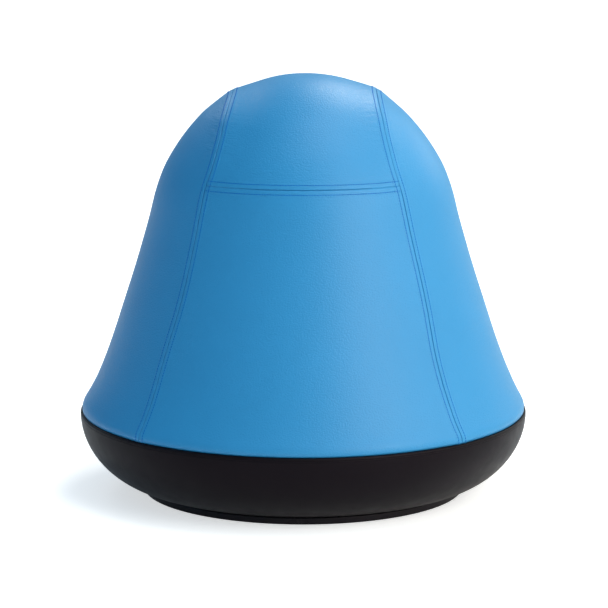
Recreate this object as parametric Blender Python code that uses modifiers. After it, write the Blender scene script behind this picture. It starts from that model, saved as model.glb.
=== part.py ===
"""Balance dome seat: an inflated ball on a moulded swivel base, under a sewn five-panel cover.

Units are metres, +Z is up and the floor is z = 0. The seat stands centred on the Z axis and its
front faces -Y. Every turned piece has its origin on the Z axis, which is also the axis of the
swivel, of the bearing cage and of the bounce.
"""

import math

import bmesh
import bpy
from mathutils import Matrix, Vector

MM = 0.001
GAP = 0.3 * MM
AXIS_STEPS = 36

# Foot plate and its rubber ring
FOOT_RADIUS = 210.6 * MM
FOOT_TOP = 9.4 * MM
FOOT_BOTTOM = 0.4 * MM
FOOT_WEB_TOP = 6.9 * MM
FOOT_WEB_BOTTOM = 3.9 * MM
FOOT_RIM_INNER = 190 * MM
GRIP_INNER = 196 * MM
GRIP_OUTER = 206 * MM
GRIP_HEIGHT = 3.0 * MM
ACCESS_HOLE_RADIUS = 6 * MM

# Turntable bearing
RACE_INNER = 114 * MM
RACE_OUTER = 156 * MM
RACE_PLATE = 1.5 * MM
RACE_SCREW_CIRCLE = 126 * MM
BALL_CIRCLE = 148 * MM
BALL_HEIGHT = 11.5 * MM
BEARING_BALL_RADIUS = 2.5 * MM
BEARING_BALLS = 12
CAGE_INNER = 144 * MM
CAGE_OUTER = 152 * MM
CAGE_PLATE = 1.2 * MM
RACE_SCREWS = 4

# Bowl
BOWL_WIDEST = 293.2 * MM
BOWL_WIDEST_Z = 103.9 * MM
BOWL_LIP = 2.3 * MM
BOWL_WALL = 4.0 * MM
BOWL_EDGE = 213.9 * MM
BOWL_EDGE_Z = 11.2 * MM
BOWL_SIDE_HANDLE = 44.6 * MM
BOWL_EDGE_HANDLE = 44.4 * MM
BOWL_EDGE_SLOPE = math.radians(11.8)
BOWL_SKIRT_INNER = 199 * MM
BOWL_FLOOR_BOTTOM = 16.1 * MM
BOWL_FLOOR_TOP = 20.1 * MM
DECK_SCREWS = 6
DECK_SCREW_CIRCLE = 250 * MM
DECK_BOSS_TOP = 76.2 * MM

# Ball and its cradle
BALL_CENTRE_Z = 357 * MM
BALL_RADIUS = 190 * MM
BALL_WALL = 3 * MM
CRADLE_RADIUS = 190.7 * MM
CRADLE_LIP = 112 * MM
DECK_WALL = 4 * MM
DECK_SHELF_TOP = 80.5 * MM
DECK_BRIM_OUTER = 283.4 * MM
DECK_BRIM_INNER = 276.4 * MM
DECK_BRIM_TOP = 120 * MM
VALVE_ELEVATION = math.radians(-35)
VALVE_RADIUS = 4.6 * MM

# Cover
COVER_THICKNESS = 2.2 * MM
COVER_RADIUS = 195 * MM
COVER_CROWN_DIP = 2 * MM
COVER_CROWN_ANGLE = math.radians(35)
COVER_LEAVES_BALL = math.radians(69.1)
COVER_RIM_RADIUS = 283.2 * MM
COVER_RIM_Z = 127.7 * MM
COVER_RIM_LEAN = math.radians(29.2)
COVER_TOP_HANDLE = 59.6 * MM
COVER_RIM_HANDLE = 78 * MM
SEAM_POLAR = math.radians(68.5)
SEAM_AZIMUTH_RIM = math.radians(45)
SEAM_AZIMUTH_TOP = math.radians(42.5)
STRIP_HALF_WIDTH_TOP = 96 * MM
STRIP_HALF_WIDTH_END = COVER_RADIUS * math.sin(SEAM_POLAR) * math.sin(SEAM_AZIMUTH_TOP)
STRIP_WAIST = 1.8
SEAM_GAP = 0.4 * MM
HEM_INNER = 284 * MM
HEM_THICKNESS = 1.3 * MM
HEM_TOP = 106.2 * MM
HEM_BOTTOM = 87 * MM
STRAP_TOP = 97 * MM
STRAP_BOTTOM = 89 * MM


def clear_scene():
    for obj in list(bpy.data.objects):
        bpy.data.objects.remove(obj, do_unlink=True)


def new_collection(name, hidden=False):
    collection = bpy.data.collections.new(name)
    bpy.context.scene.collection.children.link(collection)
    collection.hide_render = hidden
    return collection


def new_material(name, colour, roughness, metallic=0.0):
    material = bpy.data.materials.new(name)
    material.use_nodes = True
    shader = material.node_tree.nodes["Principled BSDF"]
    shader.inputs["Base Color"].default_value = (*colour, 1.0)
    shader.inputs["Roughness"].default_value = roughness
    shader.inputs["Metallic"].default_value = metallic
    material.diffuse_color = (*colour, 1.0)
    return material


clear_scene()
SEAT = new_collection("balance_dome_seat")
CUTTERS = new_collection("cutters", hidden=True)

VINYL = (0.02, 0.2, 0.5)
BLACK_PLASTIC = (0.012, 0.011, 0.013)


def finish(obj, material, parent):
    SEAT.objects.link(obj)
    obj.data.materials.append(material)
    obj.parent = parent
    obj.data.shade_smooth()
    obj.data.set_sharp_from_angle(angle=math.radians(35))
    return obj


def new_joint_empty(name, parent=None):
    empty = bpy.data.objects.new(name, None)
    empty.empty_display_type = "PLAIN_AXES"
    empty.empty_display_size = 0.1
    empty.parent = parent
    SEAT.objects.link(empty)
    return empty


def mesh_object(name, bm):
    mesh = bpy.data.meshes.new(name)
    bm.to_mesh(mesh)
    bm.free()
    return bpy.data.objects.new(name, mesh)


def profile_object(name, points, closed, steps):
    """A half section (radius, z) turned about Z. It runs down the outer side."""
    bm = bmesh.new()
    verts = [bm.verts.new((radius, 0.0, z)) for radius, z in points]
    for first, second in zip(verts, verts[1:]):
        bm.edges.new((first, second))
    if closed:
        bm.edges.new((verts[-1], verts[0]))
    obj = mesh_object(name, bm)
    screw = obj.modifiers.new("Turn", "SCREW")
    screw.steps = steps
    screw.render_steps = steps
    screw.use_merge_vertices = True
    screw.merge_threshold = 0.00001
    return obj


def turned(name, points, material, parent, closed=True, steps=AXIS_STEPS):
    return finish(profile_object(name, points, closed, steps), material, parent)


def round_corner(before, corner, after, radius, segments=3):
    """The points of a fillet at one corner of a section."""
    corner = Vector(corner)
    back = (Vector(before) - corner).normalized()
    ahead = (Vector(after) - corner).normalized()
    half = back.angle(ahead) / 2
    reach = radius / math.tan(half)
    centre = corner + (back + ahead).normalized() * (radius / math.sin(half))
    start = corner + back * reach - centre
    end = corner + ahead * reach - centre
    points = []
    for step in range(segments + 1):
        part = step / segments
        spoke = (start * (1 - part) + end * part).normalized() * radius
        points.append(tuple(centre + spoke))
    return points


def bezier(start, first, second, end, segments):
    points = []
    for step in range(segments + 1):
        t = step / segments
        weights = ((1 - t) ** 3, 3 * t * (1 - t) ** 2, 3 * t * t * (1 - t), t**3)
        radius = sum(w * p[0] for w, p in zip(weights, (start, first, second, end)))
        z = sum(w * p[1] for w, p in zip(weights, (start, first, second, end)))
        points.append((radius, z))
    return points


def offset_inward(points, distance):
    """A section line moved towards the axis side, square to itself."""
    moved = []
    for index, point in enumerate(points):
        before = Vector(points[max(index - 1, 0)])
        after = Vector(points[min(index + 1, len(points) - 1)])
        along = (after - before).normalized()
        moved.append((point[0] + along.y * distance, point[1] - along.x * distance))
    return moved


def around(count, radius, z=0.0, first_angle=0.0):
    """Places equally spaced on a circle about Z."""
    for index in range(count):
        angle = first_angle + 2 * math.pi * index / count
        yield Vector((radius * math.cos(angle), radius * math.sin(angle), z))


def rod(name, radius, bottom, top, place, steps=12):
    """An upright cylinder between two heights."""
    bm = bmesh.new()
    bmesh.ops.create_cone(
        bm, cap_ends=True, segments=steps, radius1=radius, radius2=radius, depth=top - bottom
    )
    obj = mesh_object(name, bm)
    obj.location = (place.x, place.y, (top + bottom) / 2)
    return obj


def as_cutter(obj):
    CUTTERS.objects.link(obj)
    obj.hide_render = True
    obj.display_type = "WIRE"
    return obj


def boolean(obj, other, operation):
    modifier = obj.modifiers.new(f"{operation.title()} {other.name}", "BOOLEAN")
    modifier.operation = operation
    modifier.solver = "EXACT"
    modifier.object = other


def drill(obj, name, radius, bottom, top, places):
    for index, place in enumerate(places, 1):
        boolean(obj, as_cutter(rod(f"{name}_{index}", radius, bottom, top, place)), "DIFFERENCE")


def add_bosses(obj, name, radius, bottom, top, places):
    for index, place in enumerate(places, 1):
        boolean(obj, as_cutter(rod(f"{name}_{index}", radius, bottom, top, place)), "UNION")


def add_screws(name, places, z, length, pointing, material, parent):
    """Pan-head screws whose head starts at z. They point down, or up with pointing = 1."""
    section = (
        (0.0, 0.7 * MM),
        (1.3 * MM, 0.7 * MM),
        (1.3 * MM, 1.8 * MM),
        (3.4 * MM, 1.8 * MM),
        (3.6 * MM, 0.0),
        (1.6 * MM, 0.0),
        (1.6 * MM, 1.6 * MM - length),
        (0.0, -length),
    )
    turn = Matrix.Rotation(math.pi if pointing > 0 else 0.0, 3, "X")
    for index, place in enumerate(places, 1):
        obj = turned(f"{name}_{index}", section, material, parent, closed=False, steps=8)
        obj.location = (place.x, place.y, z)
        obj.rotation_euler = turn.to_euler()


# Joint axes: everything turns or slides on the Z axis
foot = new_joint_empty("foot_frame")
cage_pivot = new_joint_empty("cage_pivot", foot)
swivel_pivot = new_joint_empty("swivel_pivot", foot)
bounce_slide = new_joint_empty("bounce_slide", swivel_pivot)

rubber = new_material("rubber_black", (0.01, 0.01, 0.01), 0.8)
foot_plastic = new_material("foot_plastic_black", (0.008, 0.008, 0.009), 0.35)
bowl_plastic = new_material("bowl_plastic_black", BLACK_PLASTIC, 0.45)
deck_plastic = new_material("deck_plastic_black", (0.02, 0.02, 0.022), 0.6)
race_steel = new_material("race_steel", (0.6, 0.6, 0.58), 0.4, 1.0)
ball_steel = new_material("bearing_steel", (0.7, 0.7, 0.7), 0.2, 1.0)
screw_steel = new_material("screw_steel", (0.5, 0.5, 0.5), 0.35, 1.0)
cage_plastic = new_material("cage_plastic_white", (0.6, 0.6, 0.56), 0.5)
ball_vinyl = new_material("ball_vinyl_grey", (0.25, 0.27, 0.3), 0.45)
plug_plastic = new_material("plug_plastic_white", (0.7, 0.7, 0.7), 0.5)
hem_webbing = new_material("hem_webbing_navy", (0.01, 0.03, 0.08), 0.8)
strap_webbing = new_material("strap_webbing_black", (0.02, 0.02, 0.02), 0.85)

# --- Foot -------------------------------------------------------------------------------------

lower_screw_places = list(around(RACE_SCREWS, RACE_SCREW_CIRCLE, first_angle=math.radians(45)))

grip_section = (
    (GRIP_INNER, GRIP_HEIGHT),
    (GRIP_OUTER, GRIP_HEIGHT),
    (GRIP_OUTER, 0.6 * MM),
    (GRIP_OUTER - 0.6 * MM, 0.0),
    (GRIP_INNER + 0.6 * MM, 0.0),
    (GRIP_INNER, 0.6 * MM),
)
turned("floor_grip_ring", grip_section, rubber, foot)

groove_top = GRIP_HEIGHT + GAP
foot_section = [
    (0.0, FOOT_WEB_TOP),
    (FOOT_RIM_INNER - 2 * MM, FOOT_WEB_TOP),
    (FOOT_RIM_INNER + 1 * MM, FOOT_TOP),
]
foot_section += round_corner(
    (FOOT_RIM_INNER, FOOT_TOP), (FOOT_RADIUS, FOOT_TOP), (FOOT_RADIUS, FOOT_BOTTOM), 3.2 * MM, 3
)
foot_section += round_corner(
    (FOOT_RADIUS, FOOT_TOP), (FOOT_RADIUS, FOOT_BOTTOM), (GRIP_OUTER, FOOT_BOTTOM), 0.8 * MM, 1
)
foot_section += [
    (GRIP_OUTER + GAP, FOOT_BOTTOM),
    (GRIP_OUTER + GAP, groove_top),
    (GRIP_INNER - GAP, groove_top),
    (GRIP_INNER - GAP, FOOT_BOTTOM),
    (FOOT_RIM_INNER, FOOT_BOTTOM),
    (FOOT_RIM_INNER, FOOT_WEB_BOTTOM),
    (0.0, FOOT_WEB_BOTTOM),
]
foot_plate = turned("foot_plate", foot_section, foot_plastic, foot, closed=False)
add_bosses(foot_plate, "foot_boss", 5 * MM, 1.8 * MM, FOOT_WEB_BOTTOM + 1 * MM, lower_screw_places)
drill(foot_plate, "foot_pilot", 1.9 * MM, 2.6 * MM, 12 * MM, lower_screw_places)
drill(foot_plate, "access_hole", ACCESS_HOLE_RADIUS, 0.0, 12 * MM, [Vector((0, -RACE_SCREW_CIRCLE))])

lower_race_bottom = FOOT_WEB_TOP + GAP
lower_race_top = lower_race_bottom + RACE_PLATE
lower_race_section = (
    (RACE_INNER, lower_race_top),
    (RACE_OUTER - RACE_PLATE, lower_race_top),
    (RACE_OUTER - RACE_PLATE, 11 * MM),
    (RACE_OUTER, 11 * MM),
    (RACE_OUTER, lower_race_bottom),
    (RACE_INNER, lower_race_bottom),
)
race_lower = turned("race_lower", lower_race_section, race_steel, foot)
drill(race_lower, "race_lower_hole", 1.9 * MM, 6 * MM, 10 * MM, lower_screw_places)
add_screws(
    "race_lower_screw",
    lower_screw_places,
    lower_race_top + GAP,
    6 * MM,
    -1,
    screw_steel,
    foot,
)

# --- Bearing cage, which turns at half the speed of the swivel ---------------------------------

ball_places = list(around(BEARING_BALLS, BALL_CIRCLE, BALL_HEIGHT))
cage_section = (
    (CAGE_INNER, BALL_HEIGHT + CAGE_PLATE / 2),
    (CAGE_OUTER, BALL_HEIGHT + CAGE_PLATE / 2),
    (CAGE_OUTER, BALL_HEIGHT - CAGE_PLATE / 2),
    (CAGE_INNER, BALL_HEIGHT - CAGE_PLATE / 2),
)
cage_ring = turned("cage_ring", cage_section, cage_plastic, cage_pivot)
drill(cage_ring, "cage_pocket", BEARING_BALL_RADIUS + GAP, 9 * MM, 14 * MM, ball_places)

for index, place in enumerate(ball_places, 1):
    bm = bmesh.new()
    bmesh.ops.create_uvsphere(bm, u_segments=8, v_segments=5, radius=BEARING_BALL_RADIUS)
    bearing_ball = mesh_object(f"bearing_ball_{index:02d}", bm)
    bearing_ball.location = place
    finish(bearing_ball, ball_steel, cage_pivot)

# --- Base, which swivels on the foot -----------------------------------------------------------

upper_screw_places = list(around(RACE_SCREWS, RACE_SCREW_CIRCLE, first_angle=math.radians(45)))
deck_screw_places = list(around(DECK_SCREWS, DECK_SCREW_CIRCLE, first_angle=math.radians(30)))

bowl_side = bezier(
    (BOWL_WIDEST, BOWL_WIDEST_Z),
    (BOWL_WIDEST, BOWL_WIDEST_Z - BOWL_SIDE_HANDLE),
    (
        BOWL_EDGE + BOWL_EDGE_HANDLE * math.cos(BOWL_EDGE_SLOPE),
        BOWL_EDGE_Z + BOWL_EDGE_HANDLE * math.sin(BOWL_EDGE_SLOPE),
    ),
    (BOWL_EDGE, BOWL_EDGE_Z),
    9,
)
bowl_lining = offset_inward(bowl_side, BOWL_WALL)[1:-1]
lip = []
for step in range(5):
    angle = math.pi * (1 - step / 4)
    lip.append(
        (
            BOWL_WIDEST - BOWL_LIP + BOWL_LIP * math.cos(angle),
            BOWL_WIDEST_Z + BOWL_LIP * math.sin(angle),
        )
    )
bowl_section = [(0.0, BOWL_FLOOR_TOP), (BOWL_EDGE - 4 * MM, BOWL_FLOOR_TOP)]
bowl_section += [point for point in reversed(bowl_lining) if point[1] > BOWL_FLOOR_TOP]
bowl_section += lip
bowl_section += bowl_side[1:]
bowl_section += [
    (BOWL_SKIRT_INNER, BOWL_EDGE_Z),
    (BOWL_SKIRT_INNER - 4 * MM, BOWL_FLOOR_BOTTOM),
    (0.0, BOWL_FLOOR_BOTTOM),
]
base_bowl = turned("base_bowl", bowl_section, bowl_plastic, swivel_pivot, closed=False)
add_bosses(base_bowl, "deck_boss", 6 * MM, 33 * MM, DECK_BOSS_TOP, deck_screw_places)
drill(base_bowl, "deck_pilot", 1.9 * MM, 60 * MM, 80 * MM, deck_screw_places)
add_bosses(base_bowl, "race_boss", 6 * MM, 18 * MM, 27 * MM, upper_screw_places)
drill(base_bowl, "race_pilot", 1.9 * MM, 12 * MM, 24 * MM, upper_screw_places)

upper_race_top = BOWL_FLOOR_BOTTOM - GAP
upper_race_bottom = upper_race_top - RACE_PLATE
upper_lip = CAGE_INNER - 4 * MM
upper_race_section = (
    (RACE_INNER, upper_race_top),
    (RACE_OUTER, upper_race_top),
    (RACE_OUTER, upper_race_bottom),
    (upper_lip + RACE_PLATE, upper_race_bottom),
    (upper_lip + RACE_PLATE, 12 * MM),
    (upper_lip, 12 * MM),
    (upper_lip, upper_race_bottom),
    (RACE_INNER, upper_race_bottom),
)
race_upper = turned("race_upper", upper_race_section, race_steel, swivel_pivot)
drill(race_upper, "race_upper_hole", 1.9 * MM, 13 * MM, 17 * MM, upper_screw_places)
add_screws(
    "race_upper_screw",
    upper_screw_places,
    upper_race_bottom - GAP,
    9 * MM,
    1,
    screw_steel,
    swivel_pivot,
)


def cradle_arc(radius, reach, segments):
    """The hollow that holds the ball, from the axis out to its lip."""
    end = math.asin(reach / radius)
    points = []
    for step in range(segments + 1):
        angle = end * step / segments
        height = BALL_CENTRE_Z - radius * math.cos(angle)
        points.append((radius * math.sin(angle), height))
    return points


cradle_top = cradle_arc(CRADLE_RADIUS, CRADLE_LIP, 5)
cradle_under = cradle_arc(CRADLE_RADIUS + DECK_WALL, CRADLE_LIP - 1 * MM, 3)
shelf_under = DECK_SHELF_TOP - DECK_WALL
deck_section = cradle_top + [
    (117 * MM, 201.5 * MM),
    (121.5 * MM, 198.5 * MM),
    (234 * MM, 86 * MM),
    (241 * MM, DECK_SHELF_TOP),
    (DECK_BRIM_INNER, DECK_SHELF_TOP),
    (DECK_BRIM_INNER, DECK_BRIM_TOP - 3 * MM),
    (DECK_BRIM_INNER + 1.4 * MM, DECK_BRIM_TOP - 0.6 * MM),
    (DECK_BRIM_INNER + 3.4 * MM, DECK_BRIM_TOP),
    (DECK_BRIM_OUTER - 1.2 * MM, DECK_BRIM_TOP - 1.2 * MM),
    (DECK_BRIM_OUTER, DECK_BRIM_TOP - 3.8 * MM),
    (DECK_BRIM_OUTER, shelf_under),
    (238 * MM, shelf_under),
    (230 * MM, 84 * MM),
    (117.5 * MM, 195.5 * MM),
]
deck_section += list(reversed(cradle_under))
deck = turned("deck", deck_section, deck_plastic, swivel_pivot, closed=False)
drill(deck, "deck_hole", 1.9 * MM, 70 * MM, 90 * MM, deck_screw_places)
add_screws(
    "deck_screw",
    deck_screw_places,
    DECK_SHELF_TOP + GAP,
    18 * MM,
    -1,
    screw_steel,
    swivel_pivot,
)

hem_section = (
    (HEM_INNER, HEM_TOP),
    (HEM_INNER + HEM_THICKNESS, HEM_TOP),
    (HEM_INNER + HEM_THICKNESS, HEM_BOTTOM),
    (HEM_INNER, HEM_BOTTOM),
)
turned("hem_band", hem_section, hem_webbing, swivel_pivot)

strap_inner = HEM_INNER + HEM_THICKNESS + GAP
strap_section = (
    (strap_inner, STRAP_TOP),
    (strap_inner + HEM_THICKNESS, STRAP_TOP),
    (strap_inner + HEM_THICKNESS, STRAP_BOTTOM),
    (strap_inner, STRAP_BOTTOM),
)
turned("hem_strap", strap_section, strap_webbing, swivel_pivot)

# --- Dome: the ball and the sewn cover ----------------------------------------------------------

bm = bmesh.new()
bmesh.ops.create_uvsphere(bm, u_segments=24, v_segments=14, radius=BALL_RADIUS)
ball = mesh_object("ball", bm)
ball.location = (0, 0, BALL_CENTRE_Z)
wall = ball.modifiers.new("Wall", "SOLIDIFY")
wall.thickness = BALL_WALL
wall.offset = -1
finish(ball, ball_vinyl, bounce_slide)

# The valve points back and down, where the cover stands clear of the ball
valve_turn = Matrix.Translation((0, 0, BALL_CENTRE_Z)) @ Matrix.Rotation(
    -(math.pi / 2 - VALVE_ELEVATION), 4, "X"
)
valve_bore = rod("valve_bore", VALVE_RADIUS + GAP, 0.15, 0.22, Vector((0, 0)))
valve_bore.matrix_world = valve_turn @ Matrix.Translation((0, 0, 0.185))
boolean(ball, as_cutter(valve_bore), "DIFFERENCE")

plug_section = (
    (0.0, BALL_RADIUS + 2.3 * MM),
    (7.4 * MM, BALL_RADIUS + 2.3 * MM),
    (8 * MM, BALL_RADIUS + 1.7 * MM),
    (8 * MM, BALL_RADIUS + GAP),
    (VALVE_RADIUS, BALL_RADIUS + GAP),
    (VALVE_RADIUS, BALL_RADIUS - 9 * MM),
    (VALVE_RADIUS - 1 * MM, BALL_RADIUS - 10 * MM),
    (0.0, BALL_RADIUS - 10 * MM),
)
plug = turned("valve_plug", plug_section, plug_plastic, bounce_slide, closed=False, steps=16)
plug.matrix_world = valve_turn


def dome_radius(polar):
    """Distance of the cover from the ball's centre: a sphere, a little flatter at the crown."""
    rise = max(0.0, 1 - polar / COVER_CROWN_ANGLE)
    return COVER_RADIUS - COVER_CROWN_DIP * rise**2


def dome_point(direction):
    """The point of the cover over the ball in a direction from the ball's centre."""
    direction = direction.normalized()
    polar = math.acos(max(-1.0, min(1.0, direction.z)))
    return direction * dome_radius(polar) + Vector((0, 0, BALL_CENTRE_Z))


leave_radius = COVER_RADIUS * math.sin(COVER_LEAVES_BALL)
leave_z = BALL_CENTRE_Z + COVER_RADIUS * math.cos(COVER_LEAVES_BALL)
rim = (COVER_RIM_RADIUS, COVER_RIM_Z)
FLANK = bezier(
    rim,
    (
        COVER_RIM_RADIUS - COVER_RIM_HANDLE * math.sin(COVER_RIM_LEAN),
        COVER_RIM_Z + COVER_RIM_HANDLE * math.cos(COVER_RIM_LEAN),
    ),
    (
        leave_radius + COVER_TOP_HANDLE * math.cos(COVER_LEAVES_BALL),
        leave_z - COVER_TOP_HANDLE * math.sin(COVER_LEAVES_BALL),
    ),
    (leave_radius, leave_z),
    60,
)
ROLL = (
    (287.2 * MM, 106.5 * MM),
    (289.9 * MM, 106.8 * MM),
    (290.9 * MM, 108.6 * MM),
    (290.5 * MM, 112.0 * MM),
    (289.4 * MM, 116.8 * MM),
    (287.2 * MM, 121.6 * MM),
)
flank_lengths = [0.0]
for first, second in zip(FLANK, FLANK[1:]):
    flank_lengths.append(flank_lengths[-1] + math.dist(first, second))
FLANK_LENGTH = flank_lengths[-1]


def section_point(length):
    """(radius, z) of the cover at a length up its section from the rim."""
    if length >= FLANK_LENGTH:
        polar = COVER_LEAVES_BALL - (length - FLANK_LENGTH) / COVER_RADIUS
        distance = dome_radius(polar)
        return distance * math.sin(polar), BALL_CENTRE_Z + distance * math.cos(polar)
    index = max(i for i, reached in enumerate(flank_lengths) if reached <= length)
    part = (length - flank_lengths[index]) / (flank_lengths[index + 1] - flank_lengths[index])
    start, end = FLANK[index], FLANK[index + 1]
    return start[0] + (end[0] - start[0]) * part, start[1] + (end[1] - start[1]) * part


def length_at_polar(polar):
    return FLANK_LENGTH + (COVER_LEAVES_BALL - polar) * COVER_RADIUS


def corner_azimuth(length):
    """Angle of the upright seams from the front or back, at a length up the section."""
    part = min(1.0, length / length_at_polar(SEAM_POLAR))
    return SEAM_AZIMUTH_RIM + (SEAM_AZIMUTH_TOP - SEAM_AZIMUTH_RIM) * part


def strip_half_width(along):
    """Half width of the top strip: narrow at the crown, wide at its front and back ends."""
    widening = STRIP_HALF_WIDTH_END - STRIP_HALF_WIDTH_TOP
    return STRIP_HALF_WIDTH_TOP + widening * abs(along) ** STRIP_WAIST


def strip_point(across, along, inset=0.0):
    """The top strip's surface: across runs left to right and along front to back, -1 to 1."""
    x = across * (strip_half_width(along) - inset)
    x_end = across * (STRIP_HALF_WIDTH_END - inset)
    ring = math.sqrt(COVER_RADIUS**2 - x_end**2)
    swing = math.acos(COVER_RADIUS * math.cos(SEAM_POLAR) / ring) - inset / COVER_RADIUS
    angle = along * swing
    here = math.sqrt(COVER_RADIUS**2 - x**2)
    return dome_point(Vector((x, here * math.sin(angle), here * math.cos(angle))))


def side_edge(along):
    """(length up the section, angle off the X axis) of a side panel's edge beside the top strip."""
    edge = strip_point(1.0, along, -SEAM_GAP)
    direction = (edge - Vector((0, 0, BALL_CENTRE_Z))).normalized()
    return length_at_polar(math.acos(direction.z)), math.atan2(edge.y, edge.x)


def sheet(name, across, along, place, colour):
    """A thin cover panel: a grid laid on the cover's surface and given its thickness."""
    bm = bmesh.new()
    bmesh.ops.create_grid(bm, x_segments=across, y_segments=along, size=1.0)
    for vert in bm.verts:
        vert.co = place(vert.co.x, vert.co.y)
    obj = mesh_object(name, bm)
    thickness = obj.modifiers.new("Thickness", "SOLIDIFY")
    thickness.thickness = COVER_THICKNESS
    thickness.offset = -1
    thickness.use_even_offset = True
    return finish(obj, new_material(f"{name}_vinyl", colour, 0.4), bounce_slide)


def panel_half_angle(length, radius, side):
    """Half the angle that an upright panel spans, clear of its seams."""
    corner = corner_azimuth(length)
    return (math.pi / 2 - corner if side else corner) - SEAM_GAP / radius


def upright_place(middle, side, rows):
    """Maps a grid onto an upright panel. Its lowest rows roll in behind the base's rim."""

    def place(u, v):
        row = round((v + 1) / 2 * rows)
        if row < len(ROLL):
            radius, z = ROLL[row]
            azimuth = middle + u * panel_half_angle(0.0, radius, side)
            return Vector((radius * math.cos(azimuth), radius * math.sin(azimuth), z))
        level = length_at_polar(SEAM_POLAR) - SEAM_GAP
        top, top_azimuth = side_edge(u) if side else (level, 0.0)
        length = top * (row - len(ROLL)) / (rows - len(ROLL))
        radius, z = section_point(length)
        azimuth = u * panel_half_angle(min(length, level), radius, side)
        if length > level:
            part = (length - level) / (top - level)
            foot_radius = section_point(level)[0]
            start = u * panel_half_angle(level, foot_radius, side)
            azimuth = start + (top_azimuth - start) * part
        azimuth += middle
        return Vector((radius * math.cos(azimuth), radius * math.sin(azimuth), z))

    return place


sheet("cover_front", 10, 15, upright_place(-math.pi / 2, False, 15), VINYL)
sheet("cover_right", 12, 19, upright_place(0.0, True, 19), VINYL)
sheet("cover_back", 10, 15, upright_place(math.pi / 2, False, 15), VINYL)
sheet("cover_left", 12, 19, upright_place(math.pi, True, 19), VINYL)
sheet("cover_top", 10, 16, lambda u, v: strip_point(u, v, SEAM_GAP), VINYL)
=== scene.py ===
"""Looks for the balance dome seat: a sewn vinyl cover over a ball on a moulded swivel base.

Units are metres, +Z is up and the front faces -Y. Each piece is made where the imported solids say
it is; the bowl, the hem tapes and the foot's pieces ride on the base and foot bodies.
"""

import math
import random

import bmesh
import bpy
from bpy.props import FloatProperty, FloatVectorProperty, IntProperty, PointerProperty
from mathutils import Matrix, Vector
from mathutils.kdtree import KDTree


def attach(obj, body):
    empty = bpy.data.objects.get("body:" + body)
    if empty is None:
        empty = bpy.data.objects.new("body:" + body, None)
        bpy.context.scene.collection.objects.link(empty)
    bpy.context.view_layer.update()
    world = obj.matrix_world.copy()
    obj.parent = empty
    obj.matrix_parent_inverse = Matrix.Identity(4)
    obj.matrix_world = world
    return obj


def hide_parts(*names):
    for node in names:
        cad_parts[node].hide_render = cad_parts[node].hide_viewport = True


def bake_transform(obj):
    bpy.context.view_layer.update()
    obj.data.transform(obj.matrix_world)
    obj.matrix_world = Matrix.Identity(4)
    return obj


bl_info = {
    "name": "Balance Dome Seat",
    "version": (1, 0, 0),
    "blender": (4, 5, 0),
    "location": "3D View > Sidebar > Seat",
    "description": "Builds the cover, base and studio of a balance dome seat",
    "category": "Object",
}

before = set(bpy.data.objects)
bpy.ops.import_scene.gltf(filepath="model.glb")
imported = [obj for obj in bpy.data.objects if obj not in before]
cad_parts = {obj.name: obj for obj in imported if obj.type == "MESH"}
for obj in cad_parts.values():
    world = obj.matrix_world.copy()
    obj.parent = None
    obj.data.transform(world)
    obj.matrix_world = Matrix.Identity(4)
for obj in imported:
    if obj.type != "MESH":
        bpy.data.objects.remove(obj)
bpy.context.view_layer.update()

MM = 0.001

# The ball, and the cover over it
BALL_CENTRE = Vector((0, 0, 357 * MM))
BALL_RADIUS = 190 * MM
COVER_RADIUS = 195 * MM
CROWN_DIP = 2 * MM
CROWN_ANGLE = math.radians(35)
LEAVES_BALL = math.radians(69.1)

# The hem and the roll above it, as (radius, z), with the handles of their curves
HEM_POINT = (286.8 * MM, 106.6 * MM)
HEM_HANDLES = ((290.0 * MM, 106.5 * MM), (290.9 * MM, 107.1 * MM))
ROLL_POINT = (290.9 * MM, 109.0 * MM)
ROLL_HANDLE = (290.9 * MM, 116.0 * MM)
HEM_SEGMENTS = 12

# The flank, from the rim (radius, z) up to where it meets the ball
RIM_POINT = (283.2 * MM, 127.7 * MM)
RIM_LEAN = math.radians(29.2)
RIM_HANDLE_BELOW = 11 * MM
RIM_HANDLE_ABOVE = 78 * MM
TOP_HANDLE = 59.6 * MM

# The seams
SEAM_POLAR = math.radians(68.5)
SEAM_SAG = math.radians(0.8)
SEAM_AZIMUTH_RIM = math.radians(45)
SEAM_AZIMUTH_TOP = math.radians(41.9)
STRIP_HALF_TOP = 92.9 * MM
STRIP_HALF_END = COVER_RADIUS * math.sin(SEAM_POLAR) * math.sin(SEAM_AZIMUTH_TOP)
STRIP_WAIST = 1.8
STRIP_SKEW = 1.5 * MM

# The fitted cover sits a touch to one side of the axis, from just above the rim
COVER_DRIFT = 1.2 * MM
DRIFT_RAMP = (108 * MM, 40 * MM)

# Heights at which the stretched cover stands proud or lies slack, as (z, reach)
SHOULDER = (417 * MM, 28 * MM)
SIDE_SHOULDER = (390 * MM, 20 * MM)
SIDE_FLANK = (250 * MM, 40 * MM)
BROW = (487 * MM, 22 * MM)
SIDE_BROW = (458 * MM, 26 * MM)
WAIST = (300 * MM, 60 * MM)


# ---------------------------------------------------------------------------------------------
# The surface of the cover
# ---------------------------------------------------------------------------------------------


def bezier(start, first, second, end, segments):
    """Points of a cubic curve in the half section, as (radius, z)."""
    points = []
    for step in range(segments + 1):
        t = step / segments
        weights = ((1 - t) ** 3, 3 * t * (1 - t) ** 2, 3 * t * t * (1 - t), t**3)
        radius = sum(w * p[0] for w, p in zip(weights, (start, first, second, end)))
        z = sum(w * p[1] for w, p in zip(weights, (start, first, second, end)))
        points.append((radius, z))
    return points


def dome_radius(polar):
    """Distance of the cover from the ball's centre. The crown is a little flattened."""
    rise = max(0.0, 1 - polar / CROWN_ANGLE)
    return COVER_RADIUS - CROWN_DIP * rise**2


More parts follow.
